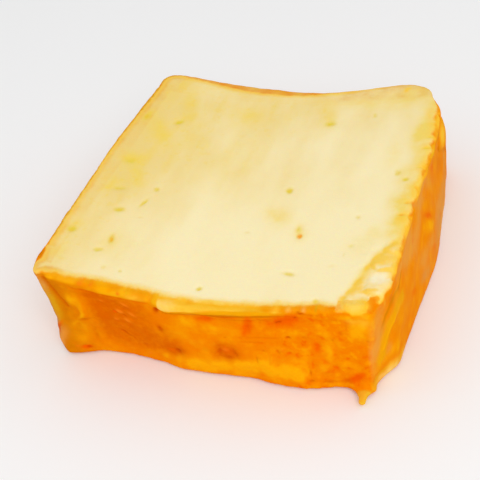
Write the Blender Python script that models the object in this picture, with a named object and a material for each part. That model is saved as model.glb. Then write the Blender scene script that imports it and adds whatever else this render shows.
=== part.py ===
"""Kashkaval: a thick slab cut across a square-section loaf of semi-hard yellow cheese.

Metres, +Z up. The two cut faces look up and down, the front wall looks along -Y,
and the origin is the middle of the bounding box of the underside.
The slab is one solid: a loft of rounded five-sided rings, with the ragged tail
that the knife left at the front right foot joined to it.
"""

import math
from collections import namedtuple

import bmesh
import bpy
from mathutils import Vector

MM = 0.001

# ---- driving dimensions ----

RIM_HEIGHT = 41.4 * MM      # the left and right rims above the underside
SAG = 5.8 * MM              # how far the cut face dips half way between those rims
SAG_HALF_WIDTH = 65.0 * MM  # from the lowest line of the dip out to either rim

# A corner's plan point and radius at the rim and at the underside.
# The corners run counter-clockwise, seen from above.
Corner = namedtuple("Corner", "name rim base rim_radius base_radius")
CORNERS = (
    Corner("front_left", (-63.4, -71.8), (-62.4, -70.4), 3.2, 7.5),
    Corner("front_right", (61.4, -72.0), (59.4, -72.2), 1.4, 1.6),
    Corner("right_shoulder", (65.4, -61.0), (66.6, -57.0), 4.0, 8.0),
    Corner("back_right", (64.4, 73.6), (67.0, 72.0), 18.0, 12.0),
    Corner("back_left", (-65.2, 74.6), (-64.6, 73.0), 8.0, 9.0),
)

# The side that starts at each corner: how far it bows out in plan at the rim and at
# the underside, the width and depth of its worn upper edge, and how far the lip
# just below that edge stands proud of the wall.
Side = namedtuple("Side", "name rim_bow base_bow edge_width edge_depth lip")
SIDES = (
    Side("front", 1.4, 0.0, 1.2, 1.2, 0.7),
    Side("cheek", 0.0, 0.0, 4.6, 2.4, 0.2),
    Side("right", 0.8, 4.4, 3.6, 2.0, 0.3),
    Side("back", -4.4, 0.5, 1.4, 1.3, 0.6),
    Side("left", 1.8, 1.4, 1.1, 1.0, 0.4),
)
FRONT = 0

LIP_DEPTH = 3.6 * MM        # from the rim down to the lip's lower edge
LIP_FADE = 1.6 * MM         # over which the lip falls back to the wall
LIP_END = LIP_DEPTH + LIP_FADE
BASE_ROUND = 1.6 * MM       # rounding of the lower edge
LEAST_RADIUS = 0.8 * MM     # left at a corner however far its sides move in

# The strip on the front lip that the wire dragged over the edge: it starts short
# and dies away slowly.
BURR_START = -17.0 * MM
BURR_FULL = -14.5 * MM
BURR_WANING = 18.0 * MM
BURR_END = 34.0 * MM
BURR_OUT = 1.5 * MM

# The long wave in the foot of the front wall.
FOOT_WAVE_DEPTH = 2.0 * MM
FOOT_WAVE_LENGTH = 120.0 * MM
FOOT_WAVE_ZERO = -18.0 * MM
FOOT_WAVE_RISE = 26.0 * MM  # how far up the wall the wave reaches
FOOT_WAVE_FULL = 48.0 * MM  # and how far to either side, full and faded out
FOOT_WAVE_GONE = 62.0 * MM

# Local swellings (+) and hollows (-) of the wall: centre, reach and height in mm.
Swelling = namedtuple("Swelling", "name centre reach out")
SWELLINGS = (
    Swelling("front_left_foot", (-54.5, -69.0, 2.0), 7.0, 2.4),
    Swelling("front_left_waist", (-61.0, -69.0, 25.0), 11.0, -0.9),
    Swelling("front_left_ridge", (-47.0, -71.5, 25.0), 5.0, 0.9),
    Swelling("front_hollow", (-31.0, -71.5, 15.0), 13.0, -1.0),
    Swelling("front_belly", (12.0, -72.5, 16.0), 16.0, 0.8),
    Swelling("front_right_foot", (33.0, -72.5, 3.0), 10.0, 1.7),
    Swelling("back_right_cheek", (64.0, 62.0, 25.0), 16.0, 1.7),
    Swelling("back_dip", (20.0, 70.0, 35.6), 20.0, -0.9),
    Swelling("back_left_hollow", (-30.0, 73.0, 18.0), 18.0, -1.2),
    Swelling("back_right_belly", (25.0, 71.0, 14.0), 20.0, 1.0),
    Swelling("left_belly", (-65.0, 20.0, 15.0), 22.0, 1.0),
    Swelling("left_hollow", (-65.0, -28.0, 20.0), 16.0, -0.8),
)

# The ragged tail: ellipsoids, each given by its centre and its half axes in mm.
Lobe = namedtuple("Lobe", "name centre half_axes")
TAIL = (
    Lobe("root", (56.6, -70.4, 2.2), (5.0, 3.0, 2.0)),
    Lobe("tip", (57.4, -73.9, 1.9), (2.2, 4.0, 1.7)),
    Lobe("stub", (59.8, -70.4, 1.9), (1.9, 2.3, 1.7)),
)

# ---- how finely it is built ----

SIDE_COLUMNS = (30, 5, 22, 24, 24)
CORNER_COLUMNS = 5
EDGE_RINGS = 4              # round each of the two edges
WALL_RINGS = 8              # between the lower edge and the lip
LIP_RINGS = 4               # down the lip, to where it has faded out
CAP_SCALES = (0.97, 0.9, 0.78, 0.62, 0.44, 0.24, 0.0)
LOBE_SEGMENTS = 16
LOBE_RINGS = 10
MERGE_DISTANCE = 0.01 * MM
SHARP_ANGLE = math.radians(40.0)

CHEESE_YELLOW = (0.90, 0.47, 0.06, 1.0)
CHEESE_ROUGHNESS = 0.45


def smoothstep(start, end, value):
    """0 before start, 1 after end, and an even S between them."""
    x = min(1.0, max(0.0, (value - start) / (end - start)))
    return x * x * (3.0 - 2.0 * x)


def mix(a, b, amount):
    return a + (b - a) * amount


def cut_height(x):
    """Height of the upper cut face, which dips like a trough along Y."""
    return RIM_HEIGHT - SAG * max(0.0, 1.0 - (x / SAG_HALF_WIDTH) ** 2)


# ---- the plan outline ----

NO_INSET = (0.0,) * len(SIDES)


def corner_at(index, rise):
    """A corner's plan point and radius, rise being 0 at the underside and 1 at the rim."""
    corner = CORNERS[index % len(CORNERS)]
    base = Vector(corner.base)
    rim = Vector(corner.rim)
    radius = mix(corner.base_radius, corner.rim_radius, rise)
    return base.lerp(rim, rise) * MM, radius * MM


def side_line(index, rise, insets):
    """A side as a start, a direction and an outward normal, moved in by its own inset."""
    start = corner_at(index, rise)[0]
    along = (corner_at(index + 1, rise)[0] - start).normalized()
    normal = Vector((along.y, -along.x))
    return start - normal * insets[index % len(SIDES)], along, normal


def inset_corner(index, rise, insets):
    """Where the two moved sides meet at a corner, and the radius left there."""
    before, before_along, before_normal = side_line(index - 1, rise, insets)
    after, after_along, _ = side_line(index, rise, insets)
    reach = (before - after).dot(before_normal) / after_along.dot(before_normal)
    mean_inset = 0.5 * (insets[(index - 1) % len(SIDES)] + insets[index % len(SIDES)])
    radius = max(LEAST_RADIUS, corner_at(index, rise)[1] - mean_inset)
    return after + after_along * reach, radius


def fillet(index, rise, insets):
    """The arc that rounds a corner: its centre, radius, first angle and sweep."""
    point, radius = inset_corner(index, rise, insets)
    back = -side_line(index - 1, rise, insets)[1]
    ahead = side_line(index, rise, insets)[1]
    half_angle = 0.5 * math.acos(back.dot(ahead))
    inward = (back + ahead).normalized()
    centre = point + inward * radius / math.sin(half_angle)
    sweep = math.pi - 2.0 * half_angle
    middle = math.atan2(-inward.y, -inward.x)
    return centre, radius, middle - 0.5 * sweep, sweep


def arc_point(arc, part):
    """Plan point and outward normal at part, 0 to 1, of an arc."""
    centre, radius, start, sweep = arc
    angle = start + sweep * part
    normal = Vector((math.cos(angle), math.sin(angle)))
    return centre + normal * radius, normal


def outline(rise, insets):
    """Every column of one ring: plan point, outward normal, and the side blend.

    The blend is (side, next side, amount): the amount is 0 along a side, and goes
    from 0 to 1 round the corner to the next one.
    """
    count = len(CORNERS)
    arcs = [fillet(index, rise, insets) for index in range(count)]
    columns = []
    for index, side in enumerate(SIDES):
        start, normal = arc_point(arcs[index], 1.0)
        end, _ = arc_point(arcs[(index + 1) % count], 0.0)
        bow = mix(side.base_bow, side.rim_bow, rise) * MM
        for step in range(SIDE_COLUMNS[index]):
            part = step / SIDE_COLUMNS[index]
            swell = bow * math.sin(math.pi * part) ** 2
            columns.append((start.lerp(end, part) + normal * swell, normal, (index, index, 0.0)))
        following = (index + 1) % count
        for step in range(CORNER_COLUMNS):
            part = step / CORNER_COLUMNS
            point, normal = arc_point(arcs[following], part)
            columns.append((point, normal, (index, following, part)))
    return columns


def of_side(blend, field):
    """A side's own value of a field, in metres, eased from one side to the next."""
    first, second, amount = blend
    return mix(getattr(SIDES[first], field), getattr(SIDES[second], field), amount) * MM


# ---- what stands out of the wall ----

def on_front(blend):
    """1 on the front wall between its corners, and 0 everywhere else."""
    return 1.0 if blend[0] == blend[1] == FRONT else 0.0


def burr(x, blend):
    """How far the dragged strip stands proud of the front lip at x."""
    begins = smoothstep(BURR_START, BURR_FULL, x)
    ends = 1.0 - smoothstep(BURR_WANING, BURR_END, x)
    return BURR_OUT * begins * ends * on_front(blend)


def foot_wave(x, height, blend):
    """The wave along the foot of the front wall, gone at FOOT_WAVE_RISE."""
    turn = math.sin(2.0 * math.pi * (x - FOOT_WAVE_ZERO) / FOOT_WAVE_LENGTH)
    end_fade = 1.0 - smoothstep(FOOT_WAVE_FULL, FOOT_WAVE_GONE, abs(x))
    rise_fade = 1.0 - smoothstep(0.0, FOOT_WAVE_RISE, height)
    return FOOT_WAVE_DEPTH * turn * end_fade * rise_fade * on_front(blend)


def swellings(point):
    """The sum of the local swellings at a point of the wall."""
    total = 0.0
    for swelling in SWELLINGS:
        away = (point - Vector(swelling.centre) * MM).length / (swelling.reach * MM)
        total += swelling.out * MM * math.exp(-away * away)
    return total


def lip_out(depth, x, blend):
    """How far the wall stands out at a depth below the rim."""
    under = 1.0 - smoothstep(LIP_DEPTH, LIP_DEPTH + LIP_FADE, depth)
    return (of_side(blend, "lip") + burr(x, blend)) * under


# ---- the rings, from the middle of the underside to the middle of the cut face ----

def shaped(rise, insets, height_of):
    """A ring as plan points and heights, with everything that stands out of the wall."""
    ring = []
    for point, normal, blend in outline(rise, insets):
        top = cut_height(point.x)
        height = height_of(top, blend)
        out = lip_out(top - height, point.x, blend) + foot_wave(point.x, height, blend)
        out += swellings(Vector((point.x, point.y, height)))
        ring.append((point + normal * out, height))
    return ring


def underside_ring(scale):
    """A ring of the flat underside, shrunk towards the middle."""
    insets = [BASE_ROUND] * len(SIDES)
    return [(point * scale, 0.0) for point, _ in shaped(0.0, insets, lambda top, blend: 0.0)]


def lower_edge_ring(part):
    """A ring of the rounding between the underside and the wall."""
    turn = 0.5 * math.pi * part
    height = BASE_ROUND * (1.0 - math.cos(turn))
    insets = [BASE_ROUND * (1.0 - math.sin(turn))] * len(SIDES)
    return shaped(0.0, insets, lambda top, blend: height)


def wall_ring(part):
    """A ring of the wall, between the rounding and the lip."""
    return shaped(part, NO_INSET, lambda top, blend: mix(BASE_ROUND, top - LIP_END, part))


def lip_ring(part):
    """A ring of the lip, from where it fades out up to the worn edge."""
    def height_of(top, blend):
        return top - mix(LIP_END, of_side(blend, "edge_depth"), part)

    return shaped(1.0, NO_INSET, height_of)


def upper_edge_ring(part):
    """A ring of the worn edge between the lip and the cut face."""
    turn = 0.5 * math.pi * part
    insets = [side.edge_width * MM * (1.0 - math.cos(turn)) for side in SIDES]

    def height_of(top, blend):
        return top - of_side(blend, "edge_depth") * (1.0 - math.sin(turn))

    return shaped(1.0, insets, height_of)


def face_ring(scale):
    """A ring of the upper cut face, shrunk towards the middle."""
    insets = [side.edge_width * MM for side in SIDES]
    points = [point * scale for point, _ in shaped(1.0, insets, lambda top, blend: top)]
    return [(point, cut_height(point.x)) for point in points]


def all_rings():
    rings = [underside_ring(scale) for scale in reversed(CAP_SCALES)]
    rings += [lower_edge_ring(step / EDGE_RINGS) for step in range(EDGE_RINGS + 1)]
    rings += [wall_ring(step / WALL_RINGS) for step in range(1, WALL_RINGS)]
    rings += [lip_ring(step / LIP_RINGS) for step in range(LIP_RINGS + 1)]
    rings += [upper_edge_ring(step / EDGE_RINGS) for step in range(1, EDGE_RINGS + 1)]
    rings += [face_ring(scale) for scale in CAP_SCALES]
    return rings


def build_slab(collection):
    """The slab, from a flat grid: its rows become the rings, its columns run round them."""
    rings = all_rings()
    row_count = len(rings) - 1
    column_count = len(rings[0])
    bm = bmesh.new()
    bmesh.ops.create_grid(bm, x_segments=column_count, y_segments=row_count, size=0.5)
    for vert in bm.verts:
        column = round((vert.co.x + 0.5) * column_count) % column_count
        row = round((vert.co.y + 0.5) * row_count)
        point, height = rings[row][column]
        vert.co = Vector((point.x, point.y, height))
    bmesh.ops.remove_doubles(bm, verts=bm.verts, dist=MERGE_DISTANCE)
    bmesh.ops.recalc_face_normals(bm, faces=bm.faces)
    mesh = bpy.data.meshes.new("cheese")
    bm.to_mesh(mesh)
    bm.free()
    slab = bpy.data.objects.new("cheese", mesh)
    collection.objects.link(slab)
    return slab


def build_lobe(lobe, collection):
    """One ellipsoid of the tail."""
    bm = bmesh.new()
    bmesh.ops.create_uvsphere(bm, u_segments=LOBE_SEGMENTS, v_segments=LOBE_RINGS, radius=MM)
    bmesh.ops.scale(bm, vec=Vector(lobe.half_axes), verts=bm.verts)
    bmesh.ops.translate(bm, vec=Vector(lobe.centre) * MM, verts=bm.verts)
    mesh = bpy.data.meshes.new("tail_" + lobe.name)
    bm.to_mesh(mesh)
    bm.free()
    piece = bpy.data.objects.new("tail_" + lobe.name, mesh)
    piece.hide_render = True
    piece.display_type = "WIRE"
    collection.objects.link(piece)
    return piece


def join_lobe(slab, piece):
    union = slab.modifiers.new("join_" + piece.name, "BOOLEAN")
    union.operation = "UNION"
    union.solver = "EXACT"
    union.object = piece


def stand_on_origin(slab, helpers):
    """Shifts everything in plan so that the finished solid's box is centred on the origin."""
    bpy.context.view_layer.update()
    evaluated = slab.evaluated_get(bpy.context.evaluated_depsgraph_get())
    corners = [Vector(corner) for corner in evaluated.bound_box]
    middle_x = 0.5 * (min(c.x for c in corners) + max(c.x for c in corners))
    middle_y = 0.5 * (min(c.y for c in corners) + max(c.y for c in corners))
    for item in [slab] + helpers:
        for vert in item.data.vertices:
            vert.co.x -= middle_x
            vert.co.y -= middle_y


def cheese_material():
    material = bpy.data.materials.new("cheese")
    material.use_nodes = True
    shader = material.node_tree.nodes["Principled BSDF"]
    shader.inputs["Base Color"].default_value = CHEESE_YELLOW
    shader.inputs["Roughness"].default_value = CHEESE_ROUGHNESS
    shader.inputs["Metallic"].default_value = 0.0
    material.diffuse_color = CHEESE_YELLOW
    return material


def new_collection(name):
    collection = bpy.data.collections.new(name)
    bpy.context.scene.collection.children.link(collection)
    return collection


def main():
    for item in list(bpy.data.objects):
        bpy.data.objects.remove(item)
    parts = new_collection("kashkaval")
    cutters = new_collection("joined_shapes")
    slab = build_slab(parts)
    slab.data.materials.append(cheese_material())
    lobes = [build_lobe(lobe, cutters) for lobe in TAIL]
    for piece in lobes:
        join_lobe(slab, piece)
    stand_on_origin(slab, lobes)
    slab.data.shade_smooth()
    slab.data.set_sharp_from_angle(angle=SHARP_ANGLE)


main()
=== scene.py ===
"""Looks of a thick slab of kashkaval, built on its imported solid.

The solid's own mesh is copied, given the dragged strip that the wire left on
the front lip, remeshed finely and then worked in relief: eyes and blotches in
the pale cut face, broken plates at its right rim, a pitted and creased front
wall and a streaked right wall. Lengths are in millimetres, in the solid's
frame, until the finished mesh is scaled to metres.
"""

import math
from collections import namedtuple

import bmesh
import bpy
import numpy as np
from mathutils import Matrix, Vector, kdtree, noise
from mathutils.bvhtree import BVHTree


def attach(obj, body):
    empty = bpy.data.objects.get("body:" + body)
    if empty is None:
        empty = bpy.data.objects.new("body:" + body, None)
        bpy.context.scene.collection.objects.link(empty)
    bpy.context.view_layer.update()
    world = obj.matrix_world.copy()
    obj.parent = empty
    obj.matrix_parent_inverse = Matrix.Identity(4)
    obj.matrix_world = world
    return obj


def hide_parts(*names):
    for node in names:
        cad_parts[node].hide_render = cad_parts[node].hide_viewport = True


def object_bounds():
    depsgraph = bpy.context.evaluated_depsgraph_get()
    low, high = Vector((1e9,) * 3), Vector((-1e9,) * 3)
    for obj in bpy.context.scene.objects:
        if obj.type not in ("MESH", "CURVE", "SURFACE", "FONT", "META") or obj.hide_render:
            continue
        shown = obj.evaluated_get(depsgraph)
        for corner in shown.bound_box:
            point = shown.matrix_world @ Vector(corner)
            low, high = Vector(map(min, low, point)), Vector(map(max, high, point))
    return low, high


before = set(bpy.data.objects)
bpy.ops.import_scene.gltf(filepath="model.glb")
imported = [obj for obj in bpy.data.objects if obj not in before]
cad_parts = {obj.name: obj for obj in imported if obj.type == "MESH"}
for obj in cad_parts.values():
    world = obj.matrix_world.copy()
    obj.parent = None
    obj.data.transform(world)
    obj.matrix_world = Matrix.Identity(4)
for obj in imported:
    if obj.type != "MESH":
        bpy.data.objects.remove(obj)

CAD_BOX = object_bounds()
MM = 0.001

# ---- the slab's driving dimensions, as in its solid ----

RIM_HEIGHT = CAD_BOX[1].z / MM
SAG = 5.8                   # dip of the cut face half way between the side rims
SAG_HALF_WIDTH = 65.0
TROUGH_X = -2.2             # the lowest line of the dip

# ---- how fine the mesh is ----

VOXEL = 0.88
RELAX_ROUNDS = 3
RELAX_AMOUNT = 0.5
UNDERSIDE_MARGIN = 5.0      # kept fine inside the lower edge
UNDERSIDE_KEEP = 0.12       # share of the underside's faces that is left
FLAT_BELOW = 0.05           # points as low as this keep their height
OUTLINE_BINS = 720

# ---- camera ----

CAMERA_TARGET = Vector((-2.16, -23.81, 25.22))
CAMERA_AZIMUTH = 23.26
CAMERA_ELEVATION = 37.74
CAMERA_ROLL = -9.56
CAMERA_DISTANCE = 360.0
CAMERA_LENS = 70.0
SENSOR = 36.0

# ---- light and floor, in metres and watts ----

KEY_AZIMUTH = 30.0
KEY_ELEVATION = 42.0
KEY_DISTANCE = 1.2
KEY_SIZE = 0.8
KEY_POWER = 4.3
WORLD_STRENGTH = 0.79
FLOOR_HALF = 3.0
FLOOR_DROP = 0.0002         # keeps the floor clear of the slab's underside
FLOOR_GREY = 0.93


def fade(start, end, value):
    """Goes smoothly from 0 at start to 1 at end, and stays so beyond; end may be lower."""
    x = np.clip((value - start) / (end - start), 0, 1)
    return x * x * (3 - 2 * x)


def bell(value, middle, half):
    """1 at the middle, 0.37 at half either side of it, then towards 0."""
    return np.exp(-((value - middle) / half) ** 2)


def curve(value, *knots):
    """A value read from a line through (place, value) knots."""
    places, values = zip(*knots)
    return np.interp(value, places, values)


def cut_height(x):
    """Height of the upper cut face, which dips like a trough along Y."""
    return RIM_HEIGHT - SAG * np.maximum(0, 1 - ((x - TROUGH_X) / SAG_HALF_WIDTH) ** 2)


def noise_at(points, size, seed):
    """Smooth noise, about -1 to 1, with features of the given size, at every point."""
    shift = Vector((seed * 31.7, seed * -17.3, seed * 11.9))
    return np.array([noise.noise(Vector(p) / size + shift) for p in points])


def spot(u, v, mark_u, mark_v, half_u, half_v, turn=0):
    """A soft-edged spot: 1 in its middle, 0.37 on its ellipse."""
    c, s = math.cos(math.radians(turn)), math.sin(math.radians(turn))
    du, dv = u - mark_u, v - mark_v
    along, across = c * du + s * dv, -s * du + c * dv
    return np.exp(-((along / half_u) ** 2 + (across / half_v) ** 2))


def line_distance(u, v, points):
    """Distance from every (u, v) to a line of points."""
    best = np.full(len(u), 1e9)
    for start, end in zip(points, points[1:]):
        a = np.array(start)
        d = np.array(end) - a
        t = np.clip(((u - a[0]) * d[0] + (v - a[1]) * d[1]) / d.dot(d), 0, 1)
        best = np.minimum(best, np.hypot(u - a[0] - t * d[0], v - a[1] - t * d[1]))
    return best


# ---- the slab's broad bends ----

# A push: where, how far it reaches in each direction, and how it moves the surface.
Push = namedtuple("Push", "centre reach move")
PUSHES = [Push(*row) for row in (
    ((-65, -67, 27), (8, 10, 9), (0.3, 0.1, 0)), ((-66, -69, 38), (5, 5, 4), (0.3, 0.2, 0)),
    ((-66, -60, 41), (5, 8, 5), (-0.5, 0, 0)), ((-64, -68, 6), (6, 8, 6), (-0.7, -0.3, 0)),
    ((-53, -72, 0), (9, 8, 5), (0, -1, 0)), ((12, -72, 0), (11, 8, 7), (0, 1.4, 0)),
    ((-12, -72, 0), (6, 8, 5), (0, -1.2, 0)), ((22, -74, 0), (8, 8, 4), (0, -0.5, 0)),
    ((36, -74, 0), (6, 8, 4), (0, -0.4, 0)), ((53.5, -75, 1), (3.5, 5, 4), (0.2, -1.3, 0)),
    ((64, -66, 0), (6, 8, 8), (-1, 1, 0)), ((60, -67, 4.5), (3, 3, 2.2), (-0.8, 0.8, 0)),
    ((57.6, -73.6, 0.8), (1.8, 2, 2.4), (-1.1, 0.3, 0)), ((67, -45, 12), (8, 18, 14), (0.9, 0, 0)),
    ((66, 47, 25), (8, 16, 14), (1.1, 0, 0)), ((66, 44, 4), (8, 16, 10), (1.1, 0, 0)),
    ((64, 65, 38), (7, 8, 6), (-3, -0.9, 0)), ((64, 67, 22), (7, 7, 9), (-0.5, -0.2, 0)),
    ((67, 5, 18), (8, 14, 12), (0.6, 0, 0)), ((63, 30, 41), (8, 22, 7), (1.9, 0, 0)),
    ((-66, -45, 40), (8, 25, 10), (-0.7, 0, 0.3)), ((-67, 35, 40), (8, 22, 10), (-0.2, 0, 0.1)),
    ((-20, 73, 36), (20, 10, 8), (0, 0.9, 0.6)), ((45, 74, 40), (16, 8, 8), (0.3, 0.5, 0.5)),
)]

# ---- the cut face ----

# An eye in the cut face: where, half length and half width, turn in degrees, depth,
# how strongly it is stained, and how orange the stain is.
Eye = namedtuple("Eye", "x y long short turn depth stain orange", defaults=(0,))
EYES = [Eye(*row) for row in (
    (-47.6, 37, 2.6, 1.8, 60, 0.5, 0.9), (-62.5, 37, 3.6, 1.6, 85, 0.3, 0.7, 0.4),
    (-57, 3.6, 3.2, 2.2, 10, 0.2, 0.6, 0.1), (-54.2, -15, 3.4, 1.8, 15, 0.3, 0.6, 0.1),
    (-39.4, -11.8, 1.3, 1.8, 30, 0.4, 0.8), (-41.2, -21, 3.4, 0.9, 75, 0.5, 0.8),
    (-48.9, -27.7, 2.4, 1.7, 15, 0.4, 0.9), (-39.2, -30.1, 1.6, 0.8, 0, 0.2, 0.4),
    (-60.7, -44.1, 1.8, 1.9, 0, 0.4, 0.95, 0.2), (-44.7, -45, 1.3, 3, 12, 0.4, 0.9, 0.5),
    (-47.1, -52, 1.9, 1.2, 15, 0.5, 0.9), (-41.3, -60.7, 1.2, 1.2, 0, 0.3, 0.5),
    (-34.5, -61.1, 0.9, 1.1, 0, 0.3, 0.6), (-3.2, -64.2, 1.2, 1.1, 40, 0.5, 1),
    (13.5, -4, 1.5, 2.3, 10, 0.5, 1), (23.2, -27.6, 0.9, 1.8, 10, 0.3, 0.6, 0.1),
    (24.8, -31.9, 1.2, 1.9, 15, 0.5, 1, 0.9), (26.4, -53.2, 2.8, 1.2, -15, 0.4, 0.75),
    (18.6, 45.2, 2.6, 2.4, 15, 0.4, 0.85, 0.1), (36.6, 50.8, 1, 2, 10, 0.3, 0.7, 0.1),
    (44.1, -20.7, 1.3, 1.7, 15, 0.3, 0.5), (53.8, 7, 1.5, 2.4, 10, 0.3, 0.75, 0.1),
    (57.4, 2.3, 1.3, 1.4, 20, 0.4, 0.8, 0.2), (45.2, -37.6, 1.5, 1.4, 0, 0.2, 0.45),
    (43.6, -42.6, 0.6, 2, 15, 0.2, 0.4), (40.6, -48.6, 2, 1.4, 0, 0.1, 0.3),
    (39.4, -67, 1.1, 1.4, 20, 0.5, 1), (4.4, -31.3, 1.7, 1.2, 10, 0.2, 0.4),
    (61, -12.6, 1.6, 1, 20, 0.4, 0.8, 0.8), (60.2, -20, 2, 0.7, 10, 0.4, 0.8, 0.9),
    (62, 10.4, 2.6, 0.5, 8, 0.5, 0.9, 0.1), (61.4, 24.2, 2.2, 0.7, 28, 0.5, 0.9, 0.3),
    (60.8, 31.6, 1.5, 0.9, 10, 0.3, 0.7, 0.3),
)]

# A tinted patch of the cut face: where, half sizes, strength, turn in degrees.
Patch = namedtuple("Patch", "x y long short strength turn", defaults=(0,))
BLOTCHES = [Patch(*row) for row in (
    (-48, 54, 11, 3.6, 0.6, -72), (-53.6, 28.2, 9.5, 4.4, 0.9, -58), (-45, 39.5, 6, 5, 0.55, 60),
    (-62, 37, 7, 2.4, 0.8, 85), (-57, 6, 5, 3.6, 0.8, 10), (-52, -3, 10, 3.4, 0.7, -62),
    (-57.5, -13, 6, 3, 0.5, 60), (-60.5, -42, 4.5, 2.6, 0.6, 60), (-61, -58, 4, 2.6, 0.5, 60),
    (13.5, -20.5, 6.6, 4.2, 0.7, -50), (23.5, -28, 1.4, 3.2, 0.6, 5), (17, 50, 3.2, 8.5, 0.6, 12),
    (-19, 48, 7, 8, 0.6, 15), (-38, 25, 4, 6, 0.35, 10), (-44, -47, 4, 6, 0.45, 10),
    (-17, 14, 12, 24, 0.2), (-43, 21, 5, 6, 0.25), (58, -24, 3.5, 10, 0.55), (58, 35, 3.5, 12, 0.35),
    (48.5, -38, 5, 6, 0.3, 20), (24.6, -31, 3, 4, 0.4, 10), (-25, 68, 18, 2.2, 0.5), (5, 70, 16, 1.8, 0.6),
    (47, 64, 12, 9, 0.6), (25, 62, 12, 5, 0.35), (-60, 60, 5, 10, 0.4, 10), (-45, 66, 12, 5, 0.1),
    (50, 20, 3, 9, 0.35, 5), (56, 5, 3, 7, 0.6), (57, -12, 3.4, 5, 0.8), (56, 34, 2.4, 9, 0.5),
    (52, -30, 3, 5, 0.4),
)]

# Places where the rim of the cut face is soft and yellow.
YELLOW_PATCHES = [Patch(*row) for row in (
    (48, -65.4, 1.6, 2, 1), (49.4, -61.8, 1, 1.8, 0.8, -20), (51.6, -57, 1.5, 3.2, 0.75, -15),
    (53, -49.4, 0.9, 1.8, 0.9, -10), (55.3, -45.6, 1.4, 4, 1, -6), (57.8, -45.6, 3.2, 3.4, 0.8),
    (52.4, -59, 2, 5, 0.35, -15), (58.4, -39.6, 1.8, 1.3, 0.8, 20), (60.4, -36.4, 1.6, 1.8, 0.9),
    (62.2, -42.6, 0.8, 1.8, 0.8), (62.4, -49.5, 0.8, 2.6, 0.8), (60, -51, 3, 0.8, 0.6, 10),
    (51.6, -69.4, 2.6, 1.3, 0.75), (56.2, -68.4, 2.2, 2.6, 0.8), (61, -65, 1.6, 0.9, 1, 30),
    (57, -62.2, 3, 0.8, 0.8), (61.6, 31.6, 1.3, 1.6, 0.9), (61, 24, 1.4, 1.2, 0.8, 20),
    (62, 12, 1, 3.6, 0.7), (62.6, 3, 1, 3.6, 0.6), (62.4, -7, 1, 3, 0.8), (60.8, -22, 2.4, 3.2, 0.85),
    (62.6, -29, 1, 4, 0.7), (46.8, 70, 1.6, 3, 1, -20), (62.4, 47, 1, 5, 0.7),
)]

# Broken plates along the front end of the right rim. Each falls off at its front edge,
# which bows forward: the edge's middle, half its width, how far the plate runs back,
# the turn of its run in degrees from +Y, and its rise.
Plate = namedtuple("Plate", "x y half_width run turn rise")
PLATES = [Plate(*row) for row in (
    (60.2, -41.4, 4, 7, -14, 0.6), (58.8, -51, 5.2, 8, -8, 0.6), (58.8, -63.6, 4.4, 10, -6, 1.1),
    (52.6, -69.8, 4.4, 6, -10, 0.6),
)]

# Notches in the right rim: where along y, how far each reaches in, how wide it is, and
# the tint of the rind in it.
Notch = namedtuple("Notch", "y reach wide tint")
RIM_NOTCHES = [Notch(*row) for row in (
    (26, 1.1, 2.8, "honey"), (11, 1, 2.2, "honey"), (-3, 1.3, 2.4, "tan"), (-12.6, 1.4, 2.6, "tan"),
    (-20.4, 1.2, 2, "gold"), (-31, 0.9, 2, "tan"),
)]

# ---- the walls ----

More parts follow.
